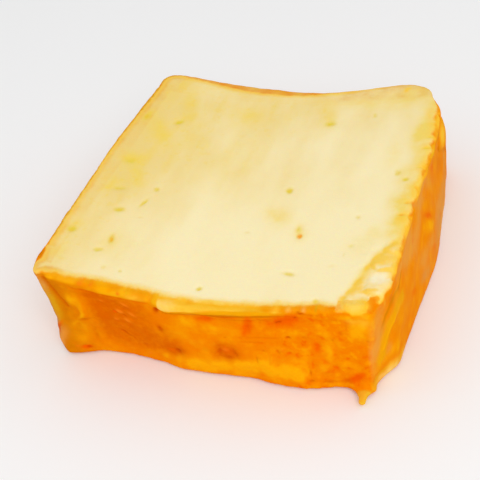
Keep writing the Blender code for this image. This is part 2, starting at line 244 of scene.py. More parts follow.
# A mark in a wall: where along the wall and in height, half sizes, its tint and the
# tint's strength, how far it stands out (or in, where negative), and its turn in degrees.
Mark = namedtuple("Mark", "along z wide high tint strength rise turn", defaults=(0, 0))
FRONT_MARKS = [Mark(*row) for row in (
    # the left part, darkened with painted shade, with its pits and marks
    (-43, 33, 5, 3, "dark", 0.6), (-35, 29, 9, 6, "dark", 0.78, -0.2),
    (-42, 20, 5.5, 12, "dark", 0.65, -0.2), (-33, 17, 9, 9, "dark", 0.75, -0.2),
    (-31, 9, 12, 4, "dark", 0.3), (-14, 15, 5, 9, "dark", 0.4), (-22, 13, 7, 7, "dark", 0.65, -0.1),
    (-24, 27, 6, 7, "dark", 0.4), (-33.5, 25.6, 1.7, 1, "light", 1.2, 0.5, -32),
    (-39.6, 30.4, 1.4, 0.8, "light", 0.6, 0.4, -30), (-30.4, 30.2, 2, 0.9, "light", 0.9, 0.4, -32),
    (-36, 21.2, 1.2, 1, "light", 0.8, 0.4, -30), (-31.4, 21.2, 1.8, 1, "light", 1, 0.4, -32),
    (-28.6, 25.2, 2, 0.9, "light", 0.9, 0.4, -32), (-34.6, 17.2, 1.1, 0.8, "light", 0.5, 0.3, -30),
    (-31.8, 27.6, 2.4, 0.5, "pit", 0.35, -0.3, -32), (-29.8, 22.8, 2, 0.5, "pit", 0.4, -0.3, -32),
    (-35.6, 24.8, 0.9, 0.7, "red", 0.8, -0.35), (-32.2, 23.6, 1.6, 0.5, "pit", 0.5, -0.35, -50),
    (-34.6, 13.4, 2.2, 0.6, "pit", 0.8, -0.4, -40), (-32, 16.4, 1.8, 0.5, "pit", 0.4, -0.3, 45),
    (-31.8, 11.2, 1.2, 0.5, "pit", 0.4, -0.25, -35), (-38.2, 27, 1.6, 0.5, "pit", 0.25, -0.2, -40),
    (-27, 9, 2, 0.6, "pit", 0.25, -0.2, 20),
    # the left corner; the gold along its ridge is partly painted highlight, the dark arc under it painted
    # shade
    (-51.8, 29.4, 2.8, 3, "gold", 0.8, 0.5), (-48.8, 24.4, 1.3, 4, "gold", 0.65, 0.6, -8),
    (-50.4, 20.4, 2.6, 0.9, "gold", 0.6, 0.4, 50), (-54, 16.4, 2.4, 0.9, "gold", 0.4, 0.3, 45),
    (-50.8, 18.2, 3, 0.7, "dark", 0.9, -0.4, 22), (-50.8, 14, 3, 3.8, "gold", 0.5, 0.6),
    (-53.2, 8, 4.2, 2.4, "gold", 0.45, 0.4), (-59.4, 31, 2.2, 5, "dark", 0.55, 0, 8),
    (-56.2, 24, 2, 3, "dark", 0.35, 0, -30), (-61.4, 25, 2.9, 9, "olive", 1, 0.2, 6),
    (-63.4, 34, 2.2, 6, "tan", 0.9), (-63, 10.5, 2.2, 3.2, "pit", 0.3, -0.1), (-62, 9, 3, 4, "ochre", 0.5),
    (-47.6, 10, 1.2, 4, "dark", 0.4, -0.4), (-56.6, 13, 2.6, 5, "gold", 0.2, 0, -30),
    (-52.6, 3.8, 2.3, 1.1, "red", 1, -0.5, -5), (-51.6, 3.4, 1.2, 0.6, "pit", 0.7, -0.3, -5),
    (-55.6, 4.6, 1.4, 0.8, "light", 0.5), (-61.4, 14, 1, 4, "red", 0.6, 0.4, -38),
    (-61.8, 13, 0.8, 2.6, "pit", 0.45, 0.1, -38), (-60.6, 10, 2.4, 4.4, "tan", 0.7, 0.2, -20),
    (-62.6, 5.4, 2, 2.2, "tan", 0.9, 0.3, -30),
    # broad changes of tone
    (-30, 20, 10, 8, "gold", 0.12), (10, 27, 4, 4, "gold", 0.2), (20, 33, 8, 3, "gold", 0.13),
    (42, 18, 4, 9, "gold", 0.15), (-3, 6.5, 4, 2, "gold", 0.25), (-60.5, 26.5, 2, 3.5, "ochre", 0.4),
    (-1.5, 14, 1.6, 1.6, "ochre", 0.4),
    # the lip's left part
    (-46, 37.9, 1.3, 0.8, "light", 0.8, 0.3), (-41.8, 37.4, 1, 0.6, "light", 0.6, 0.3),
    (-50, 37, 7, 1.2, "dark", 0.6, 0, -6), (-58.6, 39.2, 2.6, 0.8, "gold", 0.7, 0, -8),
    (-37.5, 36.6, 4, 1.8, "gold", 0.75, 0.3, -6), (-52, 38.6, 7, 1.2, "gold", 0.7, 0.2, -8),
    (-31.2, 35.8, 0.9, 0.8, "light", 0.8, 0.2), (-25, 35, 4.4, 1.3, "yellow", 0.55, 0.5, -3),
    (-28.8, 36.4, 0.5, 1, "dark", 0.6, -0.4, 20), (-19, 35, 0.8, 1.4, "light", 0.4, -0.7),
    # the lip's right part
    (26.5, 36.4, 1.7, 0.8, "yellow", 0.7, 0.2), (31, 36.9, 1.2, 0.7, "pale", 0.55, 0.2),
    (36.2, 37.2, 1, 0.7, "pale", 0.5, 0.2), (34.2, 36.6, 0.6, 0.5, "pit", 0.5, -0.3),
    (40.4, 38, 0.5, 0.9, "olive", 0.9),
    # where the strip starts
    (-17.8, 30.2, 1.1, 2.2, "pit", 0.9, -0.8, -28), (-17.2, 28, 1.2, 4, "light", 0.35),
    (-18.6, 19.6, 1.5, 2.4, "pit", 0.65, -0.35, 20),
    # the middle
    (-8, 26, 6, 4, "gold", 0.55, 0.2), (3, 24.4, 5, 3, "gold", 0.6, 0.2), (-9, 19, 7, 4, "gold", 0.3),
    (1.2, 29.2, 4.4, 1.7, "red", 0.9, -0.4, 8), (-1, 31.6, 4, 0.9, "dark", 0.8, -0.4),
    (8, 32.6, 4, 1, "dark", 0.4, -0.2, 4), (6.8, 21, 0.9, 0.4, "pit", 0.5, -0.3, 20),
    (-14.2, 9.8, 3.6, 2.8, "dark", 1.2, -0.4), (-13.4, 9.2, 1.3, 1.4, "pit", 0.95, -0.7, 30),
    (-16.2, 9.4, 1.6, 1, "red", 0.6), (6.2, 13.8, 4.7, 4.4, "dark", 1.5, -0.5),
    (6, 14.4, 3.8, 3, "red", 0.4), (3.6, 13.8, 1.1, 2.4, "pit", 0.55, -0.5, 5),
    (9.4, 13.4, 0.9, 1.9, "pit", 0.45, -0.5, 20), (6.6, 11.2, 2.6, 1.1, "pit", 0.5, -0.4),
    (6.2, 15.4, 1.7, 1.2, "light", 0.75, 0.7, -10),
    # the bottom band
    (-4, 5, 14, 3.8, "gold", 0.85, 0, 5), (14, 7.6, 10, 4.6, "gold", 0.75, 0, 8),
    (28, 8.4, 8, 5.4, "gold", 0.75, 0, 5), (-7, 5.4, 4, 1.6, "gold", 0.6, 0.4, 8),
    (-19, 5.2, 2, 2, "gold", 0.5, 0.2, 20), (-26, 4.8, 1.3, 0.9, "light", 0.6, 0.2, 30),
    (4, 6.4, 4, 1.4, "gold", 0.5, 0.3, 6), (13, 8.6, 3.4, 1.5, "gold", 0.5, 0.3, 15),
    (19.6, 11, 1.5, 2, "gold", 0.5, 0.3), (22.6, 7.4, 2, 2.2, "gold", 0.4, 0.3),
    (28.4, 9.6, 1.6, 2, "gold", 0.4, 0.3), (31.8, 7, 2.4, 3.4, "gold", 0.6, 0.6, 14),
    (17.6, 12.2, 0.4, 1.9, "pit", 0.45, -0.4, 5), (22.2, 12, 0.4, 2.2, "pit", 0.3, -0.3),
    (24.6, 6.2, 1.4, 0.5, "dark", 0.4, -0.3, 30),
    # the red streaks right of the middle
    (17, 31.4, 1.7, 3.2, "red", 0.8, 0.2, -8), (15.8, 27, 0.7, 1.9, "pit", 0.3, -0.5, -12),
    (15, 25.8, 1.9, 4.2, "red", 0.95, -0.3, -12), (20.6, 31, 0.5, 2.8, "dark", 0.4, -0.2, -6),
    (19, 22.4, 8, 0.5, "dark", 0.5, -0.2, 5), (17, 20.2, 6, 0.5, "dark", 0.4, -0.2, 4),
    (29.8, 32.2, 7.6, 3.4, "red", 1, -0.3, 26), (26.8, 30.4, 2, 0.6, "pit", 0.7, -0.4, 30),
    (33, 33.6, 0.8, 0.5, "pit", 0.8, -0.4, 30), (35.2, 35.9, 1.3, 0.6, "pit", 0.85, -0.5, 8),
    (29.6, 23.8, 1.1, 0.7, "pit", 0.75, -0.5), (35.2, 24.4, 0.8, 0.6, "pit", 0.35, -0.3),
    (25.6, 16.6, 0.6, 1.2, "pit", 0.4, -0.4, 25), (29.4, 16.6, 1.5, 0.8, "red", 0.8, -0.3, 30),
    (27, 18.2, 1.3, 1.1, "light", 0.45, 0.5), (20.2, 16.8, 0.9, 0.5, "pit", 0.45, -0.3, -10),
    # the mottled right part
    (39.4, 20.4, 1.6, 3.6, "red", 0.85, -0.2), (37.4, 12, 0.6, 2.6, "red", 0.6, -0.2, 4),
    (36.4, 8.4, 0.5, 1.9, "pit", 0.5, -0.4, 4), (37, 4.6, 1.4, 0.6, "pit", 0.5, -0.4),
    (43, 4.2, 3, 1, "dark", 0.7, -0.2), (49, 5, 2.4, 1.4, "dark", 0.7, -0.2, 10),
    (45.4, 11.2, 1.2, 1.8, "red", 0.8, -0.4, 20), (53.4, 8.6, 3.6, 1.9, "red", 0.85, -0.3, 48),
    (51.6, 6, 2.4, 1.8, "red", 0.7, -0.2, 20), (43.8, 19, 1.5, 4.4, "gold", 0.8, 0.3, -4),
    (43.4, 27.4, 1.4, 2.6, "gold", 0.5, 0.2), (36, 27, 2.2, 1.4, "gold", 0.35, 0.2, 20),
    (40.8, 31, 1.8, 1.2, "gold", 0.4, 0.2), (47.4, 23, 1.2, 3, "gold", 0.4, 0.2),
    (54.4, 32, 4.6, 6, "gold", 0.9, 0.2), (57, 38, 2, 2.4, "gold", 0.6),
    (51, 36.4, 3, 1.2, "gold", 0.5, 0.2, 10), (45, 24.6, 0.6, 1, "pit", 0.4, -0.3),
    (47.8, 28.4, 0.8, 1.2, "dark", 0.5, -0.2, 20), (50, 32, 0.4, 3, "dark", 0.5, -0.25),
    (57, 26, 0.7, 0.9, "dark", 0.5, -0.3), (39, 35.6, 4, 0.8, "dark", 0.4, -0.2, 6),
    (41, 11, 1.8, 2.4, "gold", 0.5, 0.3), (48.4, 13, 1.4, 1, "gold", 0.35, 0.2, 10),
)]

# Marks of the narrow cheek between the front and right walls, along y.
CHEEK_MARKS = [Mark(*row) for row in (
    (-68.8, 23, 3.2, 15, "tan", 1, 0, -5), (-64, 36, 4, 3, "tan", 0.5),
    (-63, 16, 2.6, 4, "tan", 0.8, 0.1, 30), (-69.5, 2.5, 3, 2.6, "yellow", 0.6),
    (-69.5, 2.5, 3, 3, "olive", 0.8), (-57, 11, 3.4, 3, "gold", 0.8, 0.2),
    (-60, 5, 4, 2.4, "yellow", 0.9, 0.2), (-61, 2.4, 6, 2.4, "pale", 0.75),
)]

# Marks of the right wall, along y; its tan bands are partly painted sheen.
RIGHT_MARKS = [Mark(*row) for row in (
    (-58.5, 35, 3, 1.8, "dark", 0.6, -0.3, -30), (-52, 24, 8, 6, "gold", 0.4, 0.3, -25),
    (-30, 35, 10, 5, "tan", 0.95, 0.1, -20), (-48, 38, 8, 2.6, "tan", 0.7, 0, -15),
    (-22, 31, 3, 1.6, "red", 0.4, -0.1, -20), (-31, 14, 5, 2.2, "red", 0.6, -0.1, -35),
    (-39, 9, 5, 3, "red", 0.4, -0.1, -20), (-12, 14, 7, 4.5, "tan", 0.9, 0, -30),
    (-14, 8, 8, 3, "dusk", 0.5, 0, -20), (2, 20, 8, 3.4, "gold", 0.9, 0.3, -30),
    (3, 23.5, 9, 1.8, "red", 0.75, -0.3, -38), (3.5, 8, 4, 1.8, "red", 0.5, -0.1, -30),
    (0, 13, 6, 3, "tan", 0.8, 0, -20), (28, 7, 28, 7, "dusk", 0.75), (50, 18, 4, 8, "dusk", 0.4),
    (49, 28.5, 4, 4.5, "yellow", 0.6, 0.2, 20), (26, 11, 14, 5, "tan", 0.6, 0, -10),
    (24, 7, 16, 3, "light", 0.3, 0, -5), (27, 6, 4, 1.2, "red", 0.4, -0.1, -25),
    (12, 33, 13, 3, "tan", 0.7, 0, -35), (-5, 36, 10, 2, "tan", 0.7, 0, -30),
    (8, 39, 8, 1.6, "gold", 0.8, 0.2, -25), (24, 38, 8, 2, "honey", 0.7, 0.2, -30),
    (23, 32, 5, 1.6, "red", 0.45, -0.1, -30), (39, 37, 6, 2.4, "olive", 0.8, 0.1, -25),
    (54, 30, 8, 6, "gold", 1.2, 0.4, 20), (50, 32, 3.4, 4, "yellow", 0.5, 0.2, 20),
    (44, 37, 4, 2, "olive", 0.8, 0, 20), (38, 24, 9, 5, "dark", 0.45, 0, -30),
    (-50, 2.4, 6, 2.2, "pale", 0.4), (-25, 2, 22, 2, "tan", 0.6), (35, 3, 26, 3, "pale", 0.35),
)]

# A line drawn in a wall: through which points, its half width, how far it stands out,
# its tint, and the tint's strength.
Line = namedtuple("Line", "points width rise tint strength")
FRONT_LINES = (
    Line(((-60.8, 40), (-59.8, 35), (-57.6, 29.4), (-55, 25)), 1.2, -0.5, "pit", 0.5),
    Line(((-57, 22), (-59, 17)), 1.2, -0.3, "dark", 0.4),
)
RIGHT_LINES = (
    # The tan band along the top of the right wall is partly painted sheen.
    Line(((4, 41), (-4, 36.6), (-12, 30), (-21, 28), (-33, 33)), 4.2, 0, "tan", 0.75),
    Line(((-46, 25.5), (-51, 27), (-57, 28.5), (-61.5, 26.5), (-64, 22), (-66.2, 14)),
         2, 0.2, "honey", 1),
    Line(((-52, 26), (-58, 27), (-62, 24), (-65, 18)), 0.9, 0.2, "gold", 0.7),
    Line(((-43, 33.5), (-48, 31.5), (-54, 33.5), (-60, 33.5), (-63, 31.5), (-65, 28), (-66.6, 23)),
         1, -0.3, "ochre", 0.9),
    Line(((-66, 5), (-60, 3.5), (-52, 3)), 2.2, 0, "honey", 1),
    Line(((43, 28.5), (47, 34.5), (50.5, 40)), 0.8, -0.6, "dark", 1),
    Line(((41, 29), (50, 23), (59, 17.5)), 1.2, -0.4, "dark", 0.8),
)

# Along x: how far down from the rim the front lip reaches, the y at which the pale face
# ends in front, and how far down it hangs over the front at its right end.
LIP_REACH = ((-62, 3.4), (-50, 2.6), (-42, 2.6), (-35, 2.8), (-28, 2.6), (-20, 2.3), (-16, 5.4),
             (-8, 4.6), (0, 3.2), (10, 2.3), (20, 1.7), (35, 1.3), (46, 1), (60, 1))
FACE_FRONT = ((-66, -71), (-63, -70.6), (-61, -69.2), (-57, -68.4), (-52.5, -69), (-46, -68.1),
              (-39, -67.6), (-30, -68.4), (-24, -68.6), (-14, -70.1), (-3, -70.6), (5, -70.7),
              (18, -70), (36, -69.2), (40, -68), (43, -68.6), (46.7, -69.4), (46.9, -73), (60, -73))
FACE_DRIP = ((47, 0.25), (48.6, 0.15), (50.4, 0.1), (51.8, 0.2), (52.9, 0.6), (54.6, 0.4),
             (55.9, 0.1), (57, -1))

# ---- the dragged strip on the front lip ----

STRIP_START = -15.8
STRIP_END = 36
STRIP_POINTS = 49
STRIP_SIDES = 16

# Along x: how far its middle lies below the rim, and half its height and depth.
STRIP_DEPTH = ((-17, 2.1), (-12, 2.05), (-7, 1.8), (0, 1.15), (10, 0.55), (20, 0.55), (28, 1.2),
               (36, 1.5))
STRIP_HALF_HEIGHT = ((-17, 2.5), (-12, 2.2), (-7, 1.8), (0, 1.15), (10, 0.6), (20, 0.6), (36, 0.6))
STRIP_HALF_DEPTH = ((-17, 1.2), (-5, 0.95), (10, 0.5), (24, 0.5), (36, 0.3))


# ---- the fine mesh ----

def mesh_object(name, points, faces):
    mesh = bpy.data.meshes.new(name)
    mesh.from_pydata([tuple(p) for p in points], [], faces)
    mesh.update()
    item = bpy.data.objects.new(name, mesh)
    bpy.context.scene.collection.objects.link(item)
    return item


def strip(lip):
    """The dragged strip as a closed bead along the lip: its points and faces."""
    points = []
    sides = range(STRIP_SIDES)
    for step in range(STRIP_POINTS):
        along = step / (STRIP_POINTS - 1)
        x = STRIP_START + (STRIP_END - STRIP_START) * along
        z = cut_height(x) - curve(x, *STRIP_DEPTH)
        hit = lip.ray_cast(Vector((x, -100, z)), Vector((0, 1, 0)))[0]
        end = math.sqrt(max(0, 1 - abs(2 * along - 1) ** 16)) + 0.02
        half_height = end * curve(x, *STRIP_HALF_HEIGHT)
        half_depth = end * curve(x, *STRIP_HALF_DEPTH)
        for side in sides:
            turn = 2 * math.pi * side / STRIP_SIDES
            points.append((x, hit.y + 0.25 * half_depth + half_depth * math.cos(turn),
                           z + half_height * math.sin(turn)))
    faces = [
        (ring * STRIP_SIDES + side, ring * STRIP_SIDES + (side + 1) % STRIP_SIDES,
         (ring + 1) * STRIP_SIDES + (side + 1) % STRIP_SIDES, (ring + 1) * STRIP_SIDES + side)
        for ring in range(STRIP_POINTS - 1) for side in sides
    ]
    faces.append(tuple(reversed(sides)))
    faces.append(tuple((STRIP_POINTS - 1) * STRIP_SIDES + side for side in sides))
    return points, faces


def joined_source():
    """The solid's mesh with the strip added, in millimetres."""
    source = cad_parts["cheese"].data
    points = [tuple(v.co / MM) for v in source.vertices]
    faces = [tuple(p.vertices) for p in source.polygons]
    strip_points, strip_faces = strip(BVHTree.FromPolygons(points, faces))
    faces += [tuple(len(points) + i for i in face) for face in strip_faces]
    return mesh_object("cheese_source", points + strip_points, faces)


def applied(item):
    """The item's mesh with its modifiers, as a new mesh; the item is removed."""
    bpy.context.view_layer.update()
    graph = bpy.context.evaluated_depsgraph_get()
    mesh = bpy.data.meshes.new_from_object(item.evaluated_get(graph))
    old = item.data
    bpy.data.objects.remove(item)
    bpy.data.meshes.remove(old)
    return mesh


def vectors(items, name):
    """The named vector of every item, as the rows of an array."""
    out = np.empty(len(items) * 3, np.float32)
    items.foreach_get(name, out)
    return out.reshape(-1, 3).astype(float)


def write_positions(mesh, co):
    mesh.vertices.foreach_set("co", co.astype(np.float32).ravel())
    mesh.update()


def relax(mesh, rounds):
    """Smooths a mesh: each point moves towards the middle of its neighbours."""
    edges = np.empty(len(mesh.edges) * 2, np.int32)
    mesh.edges.foreach_get("vertices", edges)
    first, second = edges.reshape(-1, 2).T
    co = vectors(mesh.vertices, "co")
    count = np.bincount(first, minlength=len(co)) + np.bincount(second, minlength=len(co))
    for _ in range(rounds):
        total = np.zeros_like(co)
        for axis in range(3):
            total[:, axis] = np.bincount(first, co[second, axis], len(co))
            total[:, axis] += np.bincount(second, co[first, axis], len(co))
        co += RELAX_AMOUNT * (total / count[:, None] - co)
    write_positions(mesh, co)


def thinned(mesh):
    """The mesh with far fewer faces on its hidden flat underside."""
    item = bpy.data.objects.new("cheese_fine", mesh)
    bpy.context.scene.collection.objects.link(item)
    co = vectors(mesh.vertices, "co")
    inner = outline_distance(co, rim_outline(co)) > UNDERSIDE_MARGIN
    under = np.nonzero(inner & (co[:, 2] < 0.3))[0]
    group = item.vertex_groups.new(name="underside")
    group.add([int(i) for i in under], 1, "REPLACE")
    thin = item.modifiers.new("thin", "DECIMATE")
    thin.ratio = 1 - len(under) / len(co) * (1 - UNDERSIDE_KEEP)
    thin.vertex_group = "underside"
    return applied(item)


def in_detail_zone(p):
    """Whether a point lies where the surface has its finest relief."""
    front_wall = p.y < -66.5 and p.z > 1
    corner = p.x > 45 and p.y < -32 and p.z > 34
    right_rim = p.x > 56.5 and p.y < 60 and p.z > 36
    return front_wall or corner or right_rim


def refine(mesh):
    """Halves the face size where the finest relief goes."""
    work = bmesh.new()
    work.from_mesh(mesh)
    chosen = {v for v in work.verts if in_detail_zone(v.co)}
    edges = [e for e in work.edges if e.verts[0] in chosen and e.verts[1] in chosen]
    bmesh.ops.subdivide_edges(work, edges=edges, cuts=1, use_grid_fill=True)
    work.to_mesh(mesh)
    work.free()


def fine_mesh():
    """The slab's surface as an even mesh, finest in front and thinned out underneath."""
    source = joined_source()
    remesh = source.modifiers.new("remesh", "REMESH")
    remesh.mode = "VOXEL"
    remesh.voxel_size = VOXEL
    mesh = applied(source)
    relax(mesh, RELAX_ROUNDS)
    mesh = thinned(mesh)
    refine(mesh)
    relax(mesh, 1)
    return mesh


# ---- where a point is on the slab ----

def plan_bin(x, y):
    """Which bin of the outline a point's direction falls in, with its fraction."""
    return (np.arctan2(y, x) + math.pi) / (2 * math.pi) * OUTLINE_BINS


def rim_outline(co):
    """How far from the middle the outline just below the rim is, at even angles."""
    depth = cut_height(co[:, 0]) - co[:, 2]
    near = (depth > 0.6) & (depth < 6) & (co[:, 1] > -75)
    bins = plan_bin(co[near, 0], co[near, 1]).astype(int) % OUTLINE_BINS
    reach = np.zeros(OUTLINE_BINS)
    np.maximum.at(reach, bins, np.hypot(co[near, 0], co[near, 1]))
    known = np.nonzero(reach)[0]
    reach = np.interp(np.arange(OUTLINE_BINS), known, reach[known], period=OUTLINE_BINS)
    return (np.roll(reach, 1) + 2 * reach + np.roll(reach, -1)) / 4


def outline_distance(co, reach):
    """How far inside the outline every point is, in plan; negative outside it."""
    middle = (np.arange(OUTLINE_BINS) + 0.5) / OUTLINE_BINS * 2 * math.pi - math.pi
    tree = kdtree.KDTree(OUTLINE_BINS)
    for index, angle in enumerate(middle):
        tree.insert((reach[index] * math.cos(angle), reach[index] * math.sin(angle), 0), index)
    tree.balance()
    away = np.array([tree.find((p[0], p[1], 0))[2] for p in co])
    place = plan_bin(co[:, 0], co[:, 1]) - 0.5
    rim = np.interp(place, np.arange(OUTLINE_BINS), reach, period=OUTLINE_BINS)
    return np.where(np.hypot(co[:, 0], co[:, 1]) < rim, away, -away)


class Surface:
    """Every point of the fine mesh, with where it lies on the slab.

    Its inset is how far inside the outline it is in plan, and its depth how far below
    the cut face. The rest say, from 0 to 1, how much it belongs to each side of the
    slab, to the height of the rim, and to the broken corner in front on the right.
    Its fields are what the material reads.
    """

    def __init__(self, mesh):
        self.co = vectors(mesh.vertices, "co")
        self.normal = vectors(mesh.vertex_normals, "vector")
        self.x, self.y, self.z = self.co.T
        self.inset = outline_distance(self.co, rim_outline(self.co))
        self.depth = cut_height(self.x) - self.z
        up = self.normal[:, 2]
        self.top = fade(0.3, 0.8, up) * fade(25, 30, self.z)
        self.high = fade(33, 37, self.z)
        self.front = fade(0.15, 0.6, -self.normal[:, 1]) * fade(-64, -67, self.y)
        left_end = fade(-57, -60, self.x) * fade(-58, -64, self.y)
        self.front = np.maximum(self.front, left_end * (1 - self.top) * (up > -0.7))
        self.right = fade(0.35, 0.8, self.normal[:, 0]) * fade(54, 59, self.x)
        self.back = fade(0.35, 0.8, self.normal[:, 1]) * fade(60, 66, self.y)
        self.left = fade(0.35, 0.8, -self.normal[:, 0]) * fade(-56, -60, self.x)
        self.corner = fade(46, 52, self.x) * fade(-32, -37, self.y)
        self.fields = {name: np.zeros(len(self.x)) for name in FIELDS}

    def add(self, **amounts):
        """Adds to the named fields."""
        for name, amount in amounts.items():
            self.fields[name] += amount

    def spot_at(self, place):
        """A spot where an eye or a patch of the cut face is."""
        return spot(self.x, self.y, place.x, place.y, place.long, place.short, place.turn)


# ---- colours ----

def srgb(red, green, blue):
    """A colour given by its screen values, 0 to 255, as linear light."""
    parts = [value / 255 for value in (red, green, blue)]
    return [p / 12.92 if p <= 0.04045 else ((p + 0.055) / 1.055) ** 2.4 for p in parts] + [1]


FACE_PALE = srgb(252, 236, 186)
# The paste's warmer tone, also darkened as painted shade towards the back left.
FACE_WARM_SHADED = srgb(240, 212, 132)
FACE_BLOTCH = srgb(244, 212, 90)
FACE_EDGE = srgb(250, 206, 86)
FACE_WHITE = srgb(253, 240, 200)
FACE_YELLOW = srgb(252, 204, 70)
FACE_BROWN = srgb(232, 172, 72)
EYE_STAIN = srgb(232, 204, 62)
EYE_ORANGE = srgb(248, 158, 20)
LIP_YELLOW = srgb(246, 172, 14)
LIP_ORANGE = srgb(240, 146, 2)
LIP_GLOW = srgb(247, 178, 28)
RIND_ORANGE = srgb(241, 128, 0)
RIND_GOLD = srgb(249, 160, 2)
RIND_RED = srgb(238, 102, 0)
# RIND_DARK is the rind's darker places, and also the painted shade under the lips and over the front's
# left part.
RIND_DARK = srgb(218, 98, 0)

# The rind's tints, in the order in which they are laid over each other.
TINT_COLOURS = {
    # ochre also paints the shadow under the strip and the shade at the front's left end, and dusk greys
    # that end's corner in painted shade.
    "ochre": srgb(210, 119, 2),
    "dusk": srgb(206, 150, 90),
    "tan": srgb(233, 150, 60),
    "honey": srgb(238, 160, 6),
    "gold": srgb(250, 170, 6),
    "olive": srgb(220, 156, 18),
    "yellow": srgb(253, 196, 54),
    "pale": srgb(253, 214, 120),
    "light": srgb(243, 127, 20),
    "red": srgb(240, 93, 0),
    "pit": srgb(196, 66, 0),
}

# What the relief adds up at every point for the material; face_extent and broad_fields
# give it the rest.
FIELDS = (*TINT_COLOURS, "dark", "eye", "orange_eye", "blotch", "mottle", "white", "brown")


# ---- relief ----

def pushed(co):
    """The points after the broad pushes; the underside only slides in its plane."""
    out = co.copy()
    for push in PUSHES:
        away = (co - push.centre) / push.reach
        out += np.exp(-(away ** 2).sum(1))[:, None] * np.array(push.move)
    return out


def add_marks(s, marks, along, weight):
    """Adds the marks' tints to the fields; returns how far each point stands out."""
    out = np.zeros(len(along))
    for mark in marks:
        shape = spot(along, s.z, mark.along, mark.z, mark.wide, mark.high, mark.turn) * weight
        out += mark.rise * shape
        s.fields[mark.tint] += mark.strength * shape
    return out


def add_lines(s, lines, along, weight):
    """Adds the lines' tints to the fields; returns how far each point stands out."""
    out = np.zeros(len(along))
    for line in lines:
        shape = bell(line_distance(along, s.z, line.points), 0, line.width) * weight
        out += line.rise * shape
        s.fields[line.tint] += line.strength * shape
    return out


def front_relief(s):
    """Pits, rings, creases, the lip's edge and the waves of the front wall, with painted shade under the
    lip and at the left end.
    """
    lip_top = fade(-65.5, -67.5, s.y) * fade(50, 46, s.x) * s.top
    # The marks of the front fade out past the left corner.
    past_corner = fade(-68.5, -60, s.y + 4 * noise_at(s.co, 6, 23)) * (s.x < -62)
    front = s.front * (1 - past_corner)
    out = add_marks(s, FRONT_MARKS, s.x, np.maximum(front, lip_top))
    s.fields["gold"] *= 0.95 + 0.6 * noise_at(s.co * (1.6, 1, 1), 5, 19)
    out += add_lines(s, FRONT_LINES, s.x, s.front)
    # A shallow groove runs along the lip's underside, and it is darkened with painted shade.
    under_lip = s.depth - curve(s.x, *LIP_REACH) - 0.5
    groove = bell(under_lip, 0, 0.6) * s.front * fade(-62, -58, s.x)
    groove *= fade(50, 40, s.x) * (1 - 0.6 * fade(15, 30, s.x))
    out -= 0.2 * groove
    s.add(dark=(0.2 + 0.5 * fade(-14, -6, s.x)) * groove)
    rightness = fade(8, 34, s.x)
    out += 0.3 * noise_at(s.co, 8, 1) * s.front
    out += (0.1 + 0.1 * rightness) * noise_at(s.co, 2.8, 2) * s.front
    s.add(mottle=s.front * (0.15 + 0.85 * rightness))
    # Painted shade: the left end of the front wall is darkened with ochre, and its corner greyed with
    # dusk.
    leftward = 0.65 * fade(-40, -56, s.x) + 0.25 * fade(-54, -59, s.x)
    s.add(ochre=leftward * front)
    s.add(dusk=0.7 * fade(-59, -63, s.x) * front * fade(40, 34, s.z))
    # The foot that runs out at the right corner is olive and yellow.
    tail = fade(9.5, 5.5, s.z) * fade(-71, -72.5, s.y) * fade(50.5, 52.5, s.x)
    s.add(olive=1.1 * tail, yellow=0.65 * tail)
    return out


def strip_relief(s):
    """The groove above the strip, the crease along its middle, its colours, and the painted shadow on the
    wall beneath it.
    """
    here = fade(STRIP_START - 0.6, STRIP_START + 0.6, s.x) * fade(40, 30, s.x)
    outer = fade(-70.2, -71.3, s.y) * here
    centre = curve(s.x, *STRIP_DEPTH)
    half = curve(s.x, *STRIP_HALF_HEIGHT)
    top, bottom = centre - half, centre + half
    groove = bell(s.depth, top, 0.3) * outer
    middle = curve(s.x, (-17, 2.9), (0, 2.5), (10, 2), (36, 1.2))
    fold = bell(s.depth, middle, 0.4) * outer * fade(14, 4, s.x)
    fold *= fade(-15, -8, s.x)
    s.add(dark=0.7 * fold)
    gap = here * fade(-68.5, -70, s.y) * fade(top + 0.5, top + 0.1, s.depth)
    gap *= fade(26, 8, s.x)
    patchy = 0.7 + 0.9 * noise_at(s.co, 4, 21)
    s.add(honey=gap * patchy * curve(s.x, (-10, 1), (-6, 0.4)))
    s.add(yellow=gap * (1 - patchy) * curve(s.x, (-10, 0.2), (-6, 0.9)))
    bare = bell(s.x, -10.5, 2) + 0.7 * bell(s.x, -2.5, 2.4)
    s.add(yellow=0.6 * gap * (1 - bare))
    # Painted shadow: an ochre line on the wall just below the strip, where the strip would shade it.
    below = s.depth - bottom - 0.4 - 1.2 * curve(s.x, *STRIP_HALF_DEPTH)
    shade = bell(below, 0, 0.8) * here * fade(-70, -71, s.y)
    s.add(ochre=0.9 * shade)
    upper = outer * fade(top - 0.1, top + 0.2, s.depth) * fade(middle + 0.3, middle - 0.2, s.depth)
    lower = outer * fade(middle - 0.2, middle + 0.3, s.depth) * fade(5.8, 5.2, s.depth)
    golden = curve(s.x, (-17, 1), (-4, 0.9), (5, 0.65), (15, 0.5), (30, 0.45), (36, 0.3))
    pale = curve(s.x, (-17, 0.6), (-11, 0.5), (-6, 0.1), (0, 0))
    lower_golden = curve(s.x, (-17, 0.9), (-11, 0.8), (-6, 0.35), (0, 0))
    # The strip's lower side, where it faces down, turns honey-coloured as painted shade.
    low_side = fade(bottom - 1.7, bottom - 0.7, s.depth) * outer
    low_side *= fade(bottom + 0.9, bottom + 0.4, s.depth)
    s.add(yellow=(golden * upper + lower_golden * lower) * (1 - 0.8 * low_side))
    s.add(pale=pale * (upper + 0.5 * lower) * (1 - low_side))
    s.add(honey=curve(s.x, (-12, 0.7), (-6, 0.85)) * low_side)
    return -0.3 * groove - 0.15 * fold - 0.15 * shade


